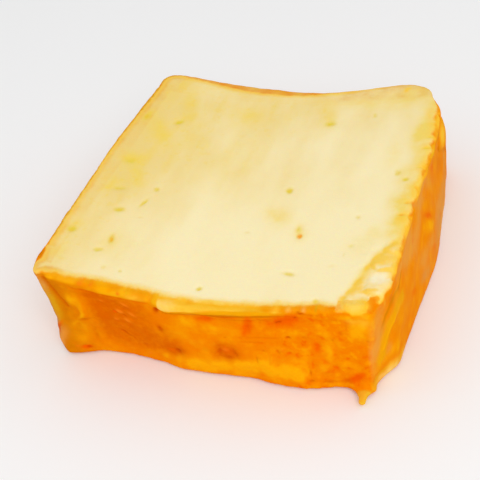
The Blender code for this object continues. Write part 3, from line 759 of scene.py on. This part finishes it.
def right_relief(s):
    """Long soft stripes that run back and up along the right wall, and its marks; the tan bands among them
    are partly painted sheen.
    """
    along = 0.83 * s.y + 0.55 * s.z
    across = 0.55 * s.y - 0.83 * s.z
    stripe_co = np.stack([0.3 * s.x, 0.3 * along, across], -1)
    broad = noise_at(stripe_co, 9, 3)
    fine = noise_at(stripe_co, 6, 4)
    # The tan stripes stand partly for the wall's streaked rind, partly for a painted sheen.
    s.add(honey=0.3 * s.right, tan=s.right * fade(0.1, 0.6, broad) * 0.3)
    s.add(gold=s.right * fade(0.1, 0.7, fine) * 0.4)
    s.add(red=s.right * fade(0.2, 0.7, -fine) * 0.25)
    out = (0.25 * broad + 0.12 * fine + 0.2 * noise_at(s.co, 18, 12)) * s.right
    out += add_marks(s, RIGHT_MARKS, s.y, s.right)
    cheek = fade(56, 58.5, s.x) * fade(-48, -60, s.y) * (1 - s.top)
    out += add_lines(s, RIGHT_LINES, s.y, np.maximum(cheek, s.right))
    cheek *= 0.85 + 0.5 * noise_at(s.co * (1, 1, 0.5), 4, 18)
    return out + add_marks(s, CHEEK_MARKS, s.y, cheek)


def hidden_relief(s):
    """The back and left walls: broad waves, pits, patches of gold and brown, and painted shade under the
    lip.
    """
    side = np.maximum(s.back, s.left)
    patches = noise_at(s.co, 14, 7)
    s.add(gold=0.8 * side * fade(0.1, 0.45, patches))
    s.add(dark=0.7 * side * fade(0.1, 0.45, -patches))
    pits = fade(0.4, 0.62, noise_at(s.co, 4, 8))
    s.add(red=0.8 * side * pits, pit=0.5 * side * fade(0.6, 1, pits), mottle=0.5 * side)
    # Under the lip the walls are sunk a little and darkened with painted shade.
    under_lip = bell(s.depth, 3.4, 0.7)
    s.add(dark=0.5 * side * under_lip)
    broad = noise_at(s.co, 9, 5)
    fine = noise_at(s.co, 2.8, 6)
    return (0.3 * broad + 0.15 * fine - 0.6 * pits - 0.3 * under_lip) * side


def face_relief(s):
    """Eyes, blotches and long shallow waves of the cut face; how far each point goes down."""
    down = np.zeros(len(s.x))
    for eye in EYES:
        shape = s.spot_at(eye) * s.top
        down += eye.depth * shape
        s.add(eye=eye.stain * shape, orange_eye=eye.stain * eye.orange * shape)
    for patch in BLOTCHES:
        s.add(blotch=patch.strength * s.spot_at(patch) * s.top)
    at_rim = fade(30, 35, s.z) * np.maximum(fade(2.6, 1.4, s.depth), s.x < 57.8)
    for patch in YELLOW_PATCHES:
        s.add(yellow=patch.strength * s.spot_at(patch) * at_rim)
    waves = noise_at(s.co * (1, 0.35, 1), 14, 9)
    return down + 0.16 * waves * s.top


def plate_relief(s):
    """The broken plates at the front end of the right rim, each over the next."""
    up = np.zeros(len(s.x))
    for plate in PLATES:
        c, t = math.cos(math.radians(plate.turn)), math.sin(math.radians(plate.turn))
        dx, dy = s.x - plate.x, s.y - plate.y
        across = c * dx + t * dy
        behind = -t * dx + c * dy - 0.1 * across ** 2
        behind += 0.5 * noise_at(s.co, 3, 13)
        step = fade(-0.8, 0.5, behind) * (1 - fade(0, plate.run, behind))
        width = 1 - fade(0.7 * plate.half_width, 1.2 * plate.half_width, np.abs(across))
        up += plate.rise * step * width
        edge = bell(behind, -0.5, 0.8) * width * s.high
        s.add(yellow=0.35 * edge, eye=0.25 * edge)
    beyond = s.x - furrow_x(s.y)
    furrow = bell(beyond, 0.6, 1.8) * s.corner
    upper = np.maximum(fade(2.4, 1.2, s.depth), fade(58, 57, s.x))
    broken = fade(-0.5, 1.5, beyond) * s.corner * s.high * upper * (1 - 0.7 * tooth(s))
    up += 0.25 * noise_at(s.co, 3, 14) * s.corner - 0.35 * furrow
    s.add(blotch=0.8 * furrow * s.high)
    s.add(yellow=broken * (0.45 + 0.3 * noise_at(s.co, 5, 15)))
    s.add(white=1.1 * spot(s.x, s.y, 58.4, -55.6, 3.4, 3.4) * s.high)
    s.add(white=0.4 * spot(s.x, s.y, 52.8, -63.8, 1.8, 2.6, 10) * s.high)
    return up * s.high


def fringe_tints(s):
    """The golden fringe below the pale face where it hangs over the front's right end."""
    drip = curve(s.x, *FACE_DRIP)
    hang = curve(s.x, (46.5, 0.6), (50.4, 1), (51.8, 1.4), (52.8, 2.4))
    below = fade(drip + 0.2 * hang, drip + 0.9 * hang, s.depth) * s.high
    s.fields["yellow"] *= 1 - below * (s.x > 46) * (s.y < -66)
    fringe = fade(drip + hang, drip + 0.3 * hang, s.depth) * fade(-64, -66, s.y)
    fringe *= fade(0, 0.8, s.depth) * (s.x > 46.5) * (s.x < 57.5)
    s.add(gold=1.1 * fringe)
    s.add(yellow=curve(s.x, (51, 0), (53.5, 0.5)) * fringe * fade(2.4, 1, s.depth))


def rim_tints(s):
    """Colours of the right rim and its notches, of the back rim, and of the left one."""
    rim = fade(9.5, 2, s.inset) * fade(48, 54, s.x) * s.high
    rim *= fade(-40, -32, s.y) * fade(68, 55, s.y) * fade(3.2, 1.6, s.depth)
    s.add(yellow=rim * (0.35 + 0.6 * noise_at(s.co * (1, 0.6, 1), 5, 16)))
    s.add(blotch=0.7 * rim)
    for notch in RIM_NOTCHES:
        s.fields[notch.tint] += 0.6 * in_notch(s, notch) * fade(3.5, 1.5, s.depth)
    back_rim = fade(60, 64, s.y) * fade(54, 44, s.x) * s.high
    uneven = noise_at(s.co, 7, 17)
    s.add(dusk=0.6 * back_rim, tan=0.4 * back_rim, honey=0.3 * back_rim, gold=0.3 * back_rim)
    s.add(pale=(0.3 - 0.4 * uneven) * back_rim)
    s.add(olive=0.8 * fade(0.15, 0.5, -uneven) * back_rim)
    s.add(light=0.6 * fade(0.15, 0.5, uneven) * back_rim)
    s.add(ochre=0.9 * spot(s.x, s.y, -66, -60, 1.8, 3) * s.high)
    s.add(gold=0.9 * spot(s.x, s.y, 67.5, 54, 4, 9) * s.high)
    s.add(olive=0.8 * fade(-56, -60, s.x) * fade(-54, -48, s.y) * s.high)
    left_band = fade(4.5, 0, s.fields["face"]) * fade(-50, -60, s.x) * (1.1 + 0.8 * uneven)
    left_band *= 0.85 + 0.4 * fade(0, 40, s.y) + 0.6 * fade(-52, -60, s.y)
    reach = curve(s.x, (0, 3.5), (20, 5.5))
    back_band = fade(reach, 0, s.fields["face"]) * fade(60, 66, s.y) * (0.7 + 0.8 * uneven)
    back_band *= curve(s.x, (-60, 0.3), (-50, 0.4), (-42, 0.8), (-28, 1), (-20, 1.2), (-8, 0.9),
                       (0, 0.7), (7, 1), (20, 1.5), (48, 1.6))
    s.add(brown=np.maximum(left_band * s.top, back_band * s.high))


def furrow_x(y):
    """Where the flat of the cut face ends and the broken plates begin."""
    return curve(y, (-70, 46.8), (-66.5, 46.8), (-62, 48.6), (-57, 50), (-52, 51.6), (-46, 53.9),
                 (-42, 55.2), (-40, 57), (-36, 59), (-33, 61), (-30, 70))


def in_notch(s, notch):
    """How much each point is in a notch of the right rim."""
    return bell(s.y, notch.y, 0.6 * notch.wide) * fade(56, 58, s.x)


def tooth(s):
    """How much each point is in the orange tooth that the front wall sends up at the corner."""
    side = fade(60.9, 59.6, s.x - 0.25 * (s.y + 64))
    return fade(56.2, 57.4, s.x) * fade(-63.2, -64.4, s.y) * side


def face_extent(s):
    """Signed distance in from the edge of the pale cut face."""
    right_side = curve(s.y, (-60, 0.5), (-20, 0.6), (20, 0.8), (33, 1.5), (43, 1.9), (48, 2.6),
                       (57, 1.6), (62, 1.5))
    left_side = curve(s.y, (-68, 1), (-65.5, 1.6), (-63.5, 3.4), (-61, 3.2), (-57, 1.6),
                      (-20, 1.3), (10, 1.4), (50, 2), (70, 2.4))
    back_side = curve(s.x, (-60, 2.2), (-35, 4.2), (-20, 5.2), (-8, 5), (5, 3.2), (12, 2),
                      (30, 0.9), (48, -0.6))
    rim = np.where(s.x > 0, right_side, left_side)
    rim += (back_side - rim) * fade(58, 69, s.y)
    extent = s.inset - rim
    front_edge = s.y - curve(s.x, *FACE_FRONT)
    in_front = (s.y < -55) & (s.x > -66)
    extent = np.where(in_front, np.minimum(front_edge, extent + 1.5), extent)
    for notch in RIM_NOTCHES:
        extent = extent - notch.reach * in_notch(s, notch)
    ripple = noise_at(s.co * (1, 1, 0.4), 4.5, 20) * fade(55, 58, s.x)
    extent += 1.3 * ripple * fade(-38, -33, s.y) * fade(60, 50, s.y)
    extent -= 6 * tooth(s)
    extent -= 2.6 * spot(s.x, s.y, -66, -59, 2.4, 3.4)
    drip = curve(s.x, *FACE_DRIP) - s.depth
    extent -= 6 * fade(58, 59, s.x) * fade(-65.4, -66.6, s.y)
    hanging = (s.y < -66) & (s.x > 47) & (s.x < 57.5)
    extent = np.where(hanging, drip, extent)
    extent = extent - np.where(hanging, 0, 1.2 * np.maximum(0, s.depth - 0.5))
    beside = (s.x > 57.8) & (s.y > -67) | (s.y > 60) | (s.x < -60) & (s.y > -64)
    extent = np.where(beside, np.minimum(extent, 3 - 2.8 * np.maximum(0, s.depth - 0.4)), extent)
    # Low down there is no pale face in the walls, but the underside is cut as well.
    return np.where(s.z < 20, np.where(s.normal[:, 2] < -0.98, 2, -3), extent)


def worked_surface(mesh):
    """Moves the mesh into its relief, and returns the fields that its material reads."""
    s = Surface(mesh)
    out = front_relief(s) + right_relief(s) + hidden_relief(s)
    out += strip_relief(s)
    s.fields["face"] = face_extent(s)
    notch_cut = fade(0.5, -0.8, s.fields["face"]) * (s.x > 56) * (s.depth < 4) * s.top
    up = plate_relief(s)
    fringe_tints(s)
    rim_tints(s)
    rise = up - face_relief(s) - 0.5 * notch_cut
    co = s.co + s.normal * out[:, None]
    co[:, 2] += rise
    co = pushed(co)
    flat = s.z < FLAT_BELOW
    co[flat, 2] = s.z[flat]
    co[:, 2] = np.maximum(co[:, 2], 0)
    write_positions(mesh, co)
    broad_fields(s)
    return s.fields


def broad_fields(s):
    """Where the lip is yellow and glows, the edge golden, and the paste warmer and darker, partly with
    painted shade.
    """
    reach = np.where(s.front > 0.1, curve(s.x, *LIP_REACH), 3) + 0.5 * noise_at(s.co, 4, 22)
    glow = fade(-60, -66, s.y) * fade(-63, -56, s.x) * fade(47, 43, s.x)
    s.fields["glow"] = glow * (1 + 0.35 * fade(-19, -14, s.x) * fade(14, 4, s.x))
    s.fields["lip"] = 1 - fade(reach - 0.3, reach + 0.4, s.depth)
    s.fields["lip"] *= fade(59, 56, s.x) * (1 - 0.8 * fade(30, 38, s.x))
    s.fields["lip"] *= 0.3 + 0.7 * np.maximum(fade(-52, -36, s.x), fade(-60, -50, s.y))
    s.fields["golden_edge"] = 1 - 0.6 * fade(5, 45, s.y) * fade(30, 50, s.x)
    # The paste grows darker and warmer towards the back left: partly its own tone, partly painted shade.
    middle = fade(-45, 15, s.y) * (0.4 + 0.6 * fade(45, 5, s.x))
    leftness = fade(-10, -70, s.x) * (0.5 + 0.25 * fade(0, -35, s.y))
    backness = fade(20, 65, s.y) * (1 - 0.8 * fade(-10, -50, s.x))
    s.fields["warm"] = 0.05 + 0.32 * middle + leftness + 0.35 * backness
    s.add(warm=0.14 * spot(s.x, s.y, -26, 16, 34, 24))
    s.fields["warm"] -= 0.25 * spot(s.x, s.y, -50, 66, 16, 10)


def add_field(mesh, name, values):
    attribute = mesh.attributes.new(name, "FLOAT", "POINT")
    attribute.data.foreach_set("value", values.astype(np.float32))


# ---- material ----

# Mix nodes carry one socket of each name for every data type, so they are picked by
# their place: that of each of the two inputs, after the factor, and of the output.
MIX_SOCKETS = {"FLOAT": (2, 3, 0), "RGBA": (6, 7, 2)}


class Graph:
    """Small helpers over one material's node tree."""

    def __init__(self, material):
        self.tree = material.node_tree
        self.coords = self.node("ShaderNodeTexCoord").outputs["Object"]

    def node(self, kind, **settings):
        made = self.tree.nodes.new(kind)
        for name, value in settings.items():
            setattr(made, name, value)
        return made

    def feed(self, socket, value):
        if isinstance(value, bpy.types.NodeSocket):
            self.tree.links.new(value, socket)
        else:
            socket.default_value = value

    def field(self, name):
        return self.node("ShaderNodeAttribute", attribute_name=name).outputs["Fac"]

    def math(self, operation, first, second=0):
        made = self.node("ShaderNodeMath", operation=operation)
        self.feed(made.inputs[0], first)
        self.feed(made.inputs[1], second)
        return made.outputs[0]

    def ramp(self, value, low, high, to_low=0, to_high=1, smooth=True):
        made = self.node("ShaderNodeMapRange")
        made.interpolation_type = "SMOOTHSTEP" if smooth else "LINEAR"
        self.feed(made.inputs["Value"], value)
        made.inputs["From Min"].default_value = low
        made.inputs["From Max"].default_value = high
        made.inputs["To Min"].default_value = to_low
        made.inputs["To Max"].default_value = to_high
        return made.outputs["Result"]

    def noise(self, size, detail=2, stretch=(1, 1, 1), shift=0):
        """Noise with features of the given size in mm, from 0 to 1."""
        mapping = self.node("ShaderNodeMapping")
        self.feed(mapping.inputs["Vector"], self.coords)
        mapping.inputs["Scale"].default_value = [s / (size * MM) for s in stretch]
        mapping.inputs["Location"].default_value = (shift, shift * 0.7, shift * 1.3)
        made = self.node("ShaderNodeTexNoise")
        self.feed(made.inputs["Vector"], mapping.outputs["Vector"])
        made.inputs["Scale"].default_value = 1
        made.inputs["Detail"].default_value = detail
        return made.outputs["Fac"]

    def mix(self, factor, first, second, kind="RGBA"):
        first_place, second_place, result_place = MIX_SOCKETS[kind]
        made = self.node("ShaderNodeMix", data_type=kind)
        self.feed(made.inputs[0], factor)
        self.feed(made.inputs[first_place], first)
        self.feed(made.inputs[second_place], second)
        return made.outputs[result_place]

    def stain(self, colour, name, tint, ragged, low=0.02, high=1.05, amount=0.95):
        """The colour with a tint where a field passes from low to high, with a ragged edge."""
        value = self.math("MULTIPLY", self.field(name), ragged)
        return self.mix(self.ramp(value, low, high, 0, amount), colour, tint)


def face_colour(g):
    """The pale paste: warmer and darker to the back left, partly with painted shade, blotched, yellow and
    white where it broke.
    """
    cloud = g.noise(16, 3, stretch=(1, 0.4, 1))
    warm = g.math("ADD", g.field("warm"), g.ramp(cloud, 0.3, 0.7, -0.2, 0.2, smooth=False))
    colour = g.mix(g.ramp(warm, 0, 1), FACE_PALE, FACE_WARM_SHADED)
    streaks = g.ramp(g.noise(6.5, 3, stretch=(1, 0.3, 1), shift=3.1), 0.5, 0.72)
    blotch = g.math("MULTIPLY", streaks, g.ramp(warm, 0.25, 0.9, 0, 0.42))
    specks = g.ramp(g.noise(3.2, 2, shift=2.2), 0.56, 0.72)
    specks = g.math("MULTIPLY", specks, g.ramp(warm, 0.35, 0.8, 0, 0.35))
    blotch = g.math("ADD", blotch, specks)
    cloudy = g.ramp(g.noise(6, 2, shift=6.6), 0.3, 0.7, 0.6, 1.3, smooth=False)
    blotch = g.math("ADD", blotch, g.math("MULTIPLY", g.field("blotch"), cloudy))
    colour = g.mix(g.ramp(blotch, 0, 1, 0, 0.85, smooth=False), colour, FACE_BLOTCH)
    ragged = g.ramp(g.noise(2, 2, shift=5.7), 0.25, 0.75, 0.75, 1.25, smooth=False)
    colour = g.stain(colour, "brown", FACE_BROWN, ragged, 0, 1.2, 0.8)
    colour = g.stain(colour, "yellow", FACE_YELLOW, ragged, 0.05, 1.1, 0.9)
    colour = g.stain(colour, "white", FACE_WHITE, ragged, 0.1, 0.9, 0.95)
    stain = g.mix(g.ramp(g.field("orange_eye"), 0.1, 0.7), EYE_STAIN, EYE_ORANGE)
    return g.stain(colour, "eye", stain, ragged, 0.05, 0.95, 0.92)


def rind_colour(g, lip_noise):
    """The orange rind, with its golden, brown, red and pinkish places and its mottling."""
    fine = g.noise(3.4, 2.5, shift=1.3)
    coarse = g.noise(6.5, 3, shift=8.8)
    ragged = g.ramp(g.noise(2.2, 2, shift=2.9), 0.25, 0.75, 0.75, 1.25, smooth=False)
    colour = g.mix(g.ramp(coarse, 0.4, 0.75, 0, 0.6), RIND_ORANGE, RIND_GOLD)
    colour = g.stain(colour, "dark", RIND_DARK, ragged)
    mottle = g.field("mottle")
    bright = g.math("MULTIPLY", g.ramp(fine, 0.52, 0.72, 0, 0.7), mottle)
    colour = g.mix(bright, colour, RIND_GOLD)
    deep = g.math("MULTIPLY", g.ramp(fine, 0.48, 0.3, 0, 0.8), mottle)
    colour = g.mix(deep, colour, RIND_RED)
    lip = g.mix(lip_noise, LIP_ORANGE, LIP_YELLOW)
    colour = g.mix(g.field("lip"), colour, lip)
    for name, tint in TINT_COLOURS.items():
        colour = g.stain(colour, name, tint, ragged)
    return colour


def cheese_material():
    material = bpy.data.materials.new("cheese")
    material.use_nodes = True
    g = Graph(material)
    shader = material.node_tree.nodes["Principled BSDF"]

    wander = g.ramp(g.noise(3.4, 2, shift=4.4), 0.25, 0.75, -0.45, 0.45, smooth=False)
    crumb = g.ramp(g.noise(0.9, 2, shift=6.1), 0.25, 0.75, -0.18, 0.18, smooth=False)
    edge = g.math("ADD", g.field("face"), g.math("ADD", wander, crumb))
    face = g.ramp(edge, -0.9, 0.8)
    lip_noise = g.ramp(g.noise(4.5, 1.5, stretch=(0.6, 0.6, 1.2), shift=9.3), 0.44, 0.68)
    near_edge = g.math("MULTIPLY", g.ramp(edge, -0.3, 3.6, 0.9, 0), g.field("golden_edge"))
    paste = g.mix(near_edge, face_colour(g), FACE_EDGE)
    patchy = g.math("ADD", g.math("MULTIPLY", lip_noise, 0.5), 0.55)
    glow = g.math("MULTIPLY", g.field("glow"), g.ramp(edge, -3.4, -0.2, 0, 0.8))
    glow = g.math("MULTIPLY", glow, patchy)
    rind = g.mix(glow, rind_colour(g, lip_noise), LIP_GLOW)
    g.feed(shader.inputs["Base Color"], g.mix(face, rind, paste))

    rough_noise = g.noise(3, 3, shift=7.7)
    rind_rough = g.ramp(rough_noise, 0.3, 0.7, 0.34, 0.52, smooth=False)
    face_rough = g.ramp(rough_noise, 0.3, 0.7, 0.5, 0.64, smooth=False)
    g.feed(shader.inputs["Roughness"], g.mix(face, rind_rough, face_rough, "FLOAT"))

    grain = g.math("ADD", g.noise(0.9, 3, shift=0.4), g.math("MULTIPLY", g.noise(3, 2), 1.4))
    bump = g.node("ShaderNodeBump")
    bump.inputs["Strength"].default_value = 0.3
    bump.inputs["Distance"].default_value = 0.3 * MM
    g.feed(bump.inputs["Height"], grain)
    g.feed(shader.inputs["Normal"], bump.outputs["Normal"])

    shader.inputs["Specular IOR Level"].default_value = 0.001
    shader.inputs["Subsurface Weight"].default_value = 0.12
    shader.inputs["Subsurface Radius"].default_value = (1, 0.5, 0.15)
    shader.inputs["Subsurface Scale"].default_value = 1.6 * MM
    return material


# ---- the piece ----

def build_cheese():
    mesh = fine_mesh()
    for name, values in worked_surface(mesh).items():
        add_field(mesh, name, values)
    mesh.transform(Matrix.Scale(MM, 4))
    mesh.materials.append(cheese_material())
    mesh.shade_smooth()
    cheese = bpy.data.objects.new("kashkaval", mesh)
    bpy.context.scene.collection.objects.link(cheese)
    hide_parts("cheese")
    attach(cheese, "root")
    triangles = sum(len(face.vertices) - 2 for face in mesh.polygons)
    print("kashkaval:", len(mesh.vertices), "points", triangles, "triangles")


# ---- stage ----

def build_floor():
    material = bpy.data.materials.new("floor")
    material.use_nodes = True
    shader = material.node_tree.nodes["Principled BSDF"]
    shader.inputs["Base Color"].default_value = (FLOOR_GREY, FLOOR_GREY, FLOOR_GREY, 1)
    shader.inputs["Roughness"].default_value = 0.9
    shader.inputs["Specular IOR Level"].default_value = 0.1
    half = FLOOR_HALF
    corners = [(-half, -half, 0), (half, -half, 0), (half, half, 0), (-half, half, 0)]
    floor = mesh_object("floor", corners, [(0, 1, 2, 3)])
    floor.location.z = -FLOOR_DROP
    floor.data.materials.append(material)


def direction(azimuth, elevation):
    """From the object towards a place: azimuth 0 is in front, 90 to the right."""
    a, e = math.radians(azimuth), math.radians(elevation)
    return Vector((math.sin(a) * math.cos(e), -math.cos(a) * math.cos(e), math.sin(e)))


def build_light():
    """An even white surround and one wide soft lamp."""
    world = bpy.data.worlds.new("studio")
    world.use_nodes = True
    background = world.node_tree.nodes["Background"]
    background.inputs["Color"].default_value = (1, 1, 1, 1)
    background.inputs["Strength"].default_value = WORLD_STRENGTH
    bpy.context.scene.world = world
    bpy.context.scene.view_settings.view_transform = "Standard"
    data = bpy.data.lights.new("key", "AREA")
    data.shape = "DISK"
    data.size = KEY_SIZE
    data.energy = KEY_POWER
    key = bpy.data.objects.new("key", data)
    towards = direction(KEY_AZIMUTH, KEY_ELEVATION)
    key.location = towards * KEY_DISTANCE
    key.rotation_euler = towards.to_track_quat("Z", "Y").to_euler()
    bpy.context.scene.collection.objects.link(key)


def build_camera():
    back = direction(CAMERA_AZIMUTH, CAMERA_ELEVATION)
    azimuth = math.radians(CAMERA_AZIMUTH)
    level_right = Vector((math.cos(azimuth), math.sin(azimuth), 0))
    level_up = back.cross(level_right)
    roll = math.radians(CAMERA_ROLL)
    right = level_right * math.cos(roll) + level_up * math.sin(roll)
    up = level_up * math.cos(roll) - level_right * math.sin(roll)
    data = bpy.data.cameras.new("camera")
    data.lens = CAMERA_LENS
    data.sensor_width = SENSOR
    data.clip_start = 0.01
    camera = bpy.data.objects.new("camera", data)
    turn = Matrix((right, up, back)).transposed()
    place = (CAMERA_TARGET + back * CAMERA_DISTANCE) * MM
    camera.matrix_world = Matrix.LocRotScale(place, turn.to_quaternion(), None)
    bpy.context.scene.collection.objects.link(camera)
    bpy.context.scene.camera = camera


build_camera()
build_light()
build_floor()
build_cheese()

bpy.context.view_layer.update()
